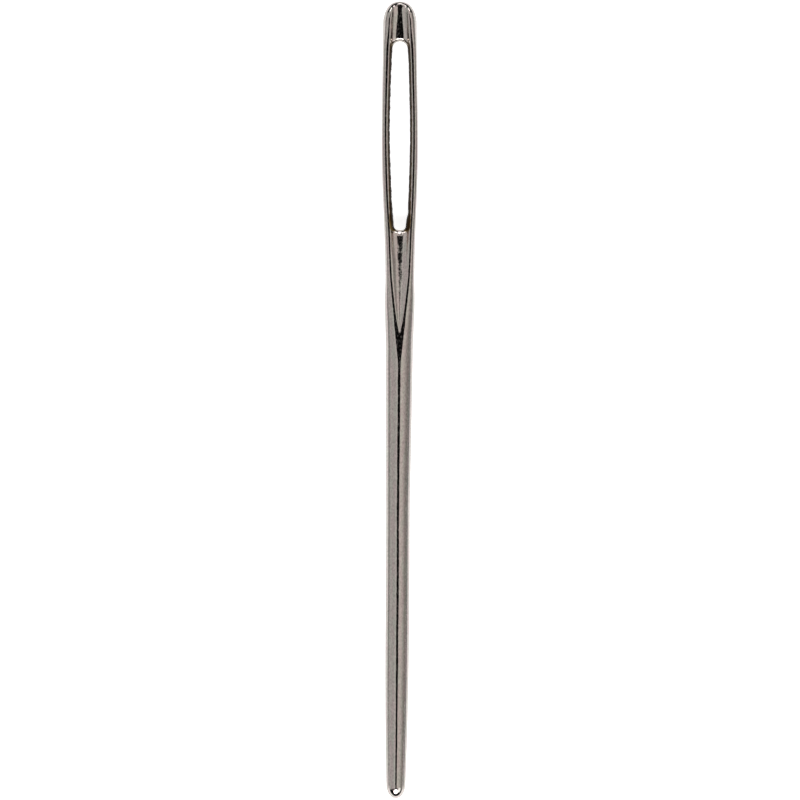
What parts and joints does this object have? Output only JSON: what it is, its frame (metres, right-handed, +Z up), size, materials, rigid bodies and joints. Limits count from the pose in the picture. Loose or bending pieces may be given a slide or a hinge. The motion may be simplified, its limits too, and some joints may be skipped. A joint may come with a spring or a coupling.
{
  "type": "yarn needle",
  "caption": "Blunt plated steel needle with a long oval eye and a gutter on each face of its head, for sewing or darning with yarn.",
  "frame": {"origin": "on the table below the middle of the needle as it lies flat", "axes": "+Y along the needle from the tip to the eye, +Z up through the eye's opening, +X across the head"},
  "size_m": [0.0032, 0.07, 0.0023],
  "materials": {
    "nickel_plate": "bright nickel plate, tumble polished, with faint lengthwise drawing marks"
  },
  "bodies": {
    "root": {"shank": "nickel_plate", "head": "nickel_plate"}
  },
  "joints": []
}
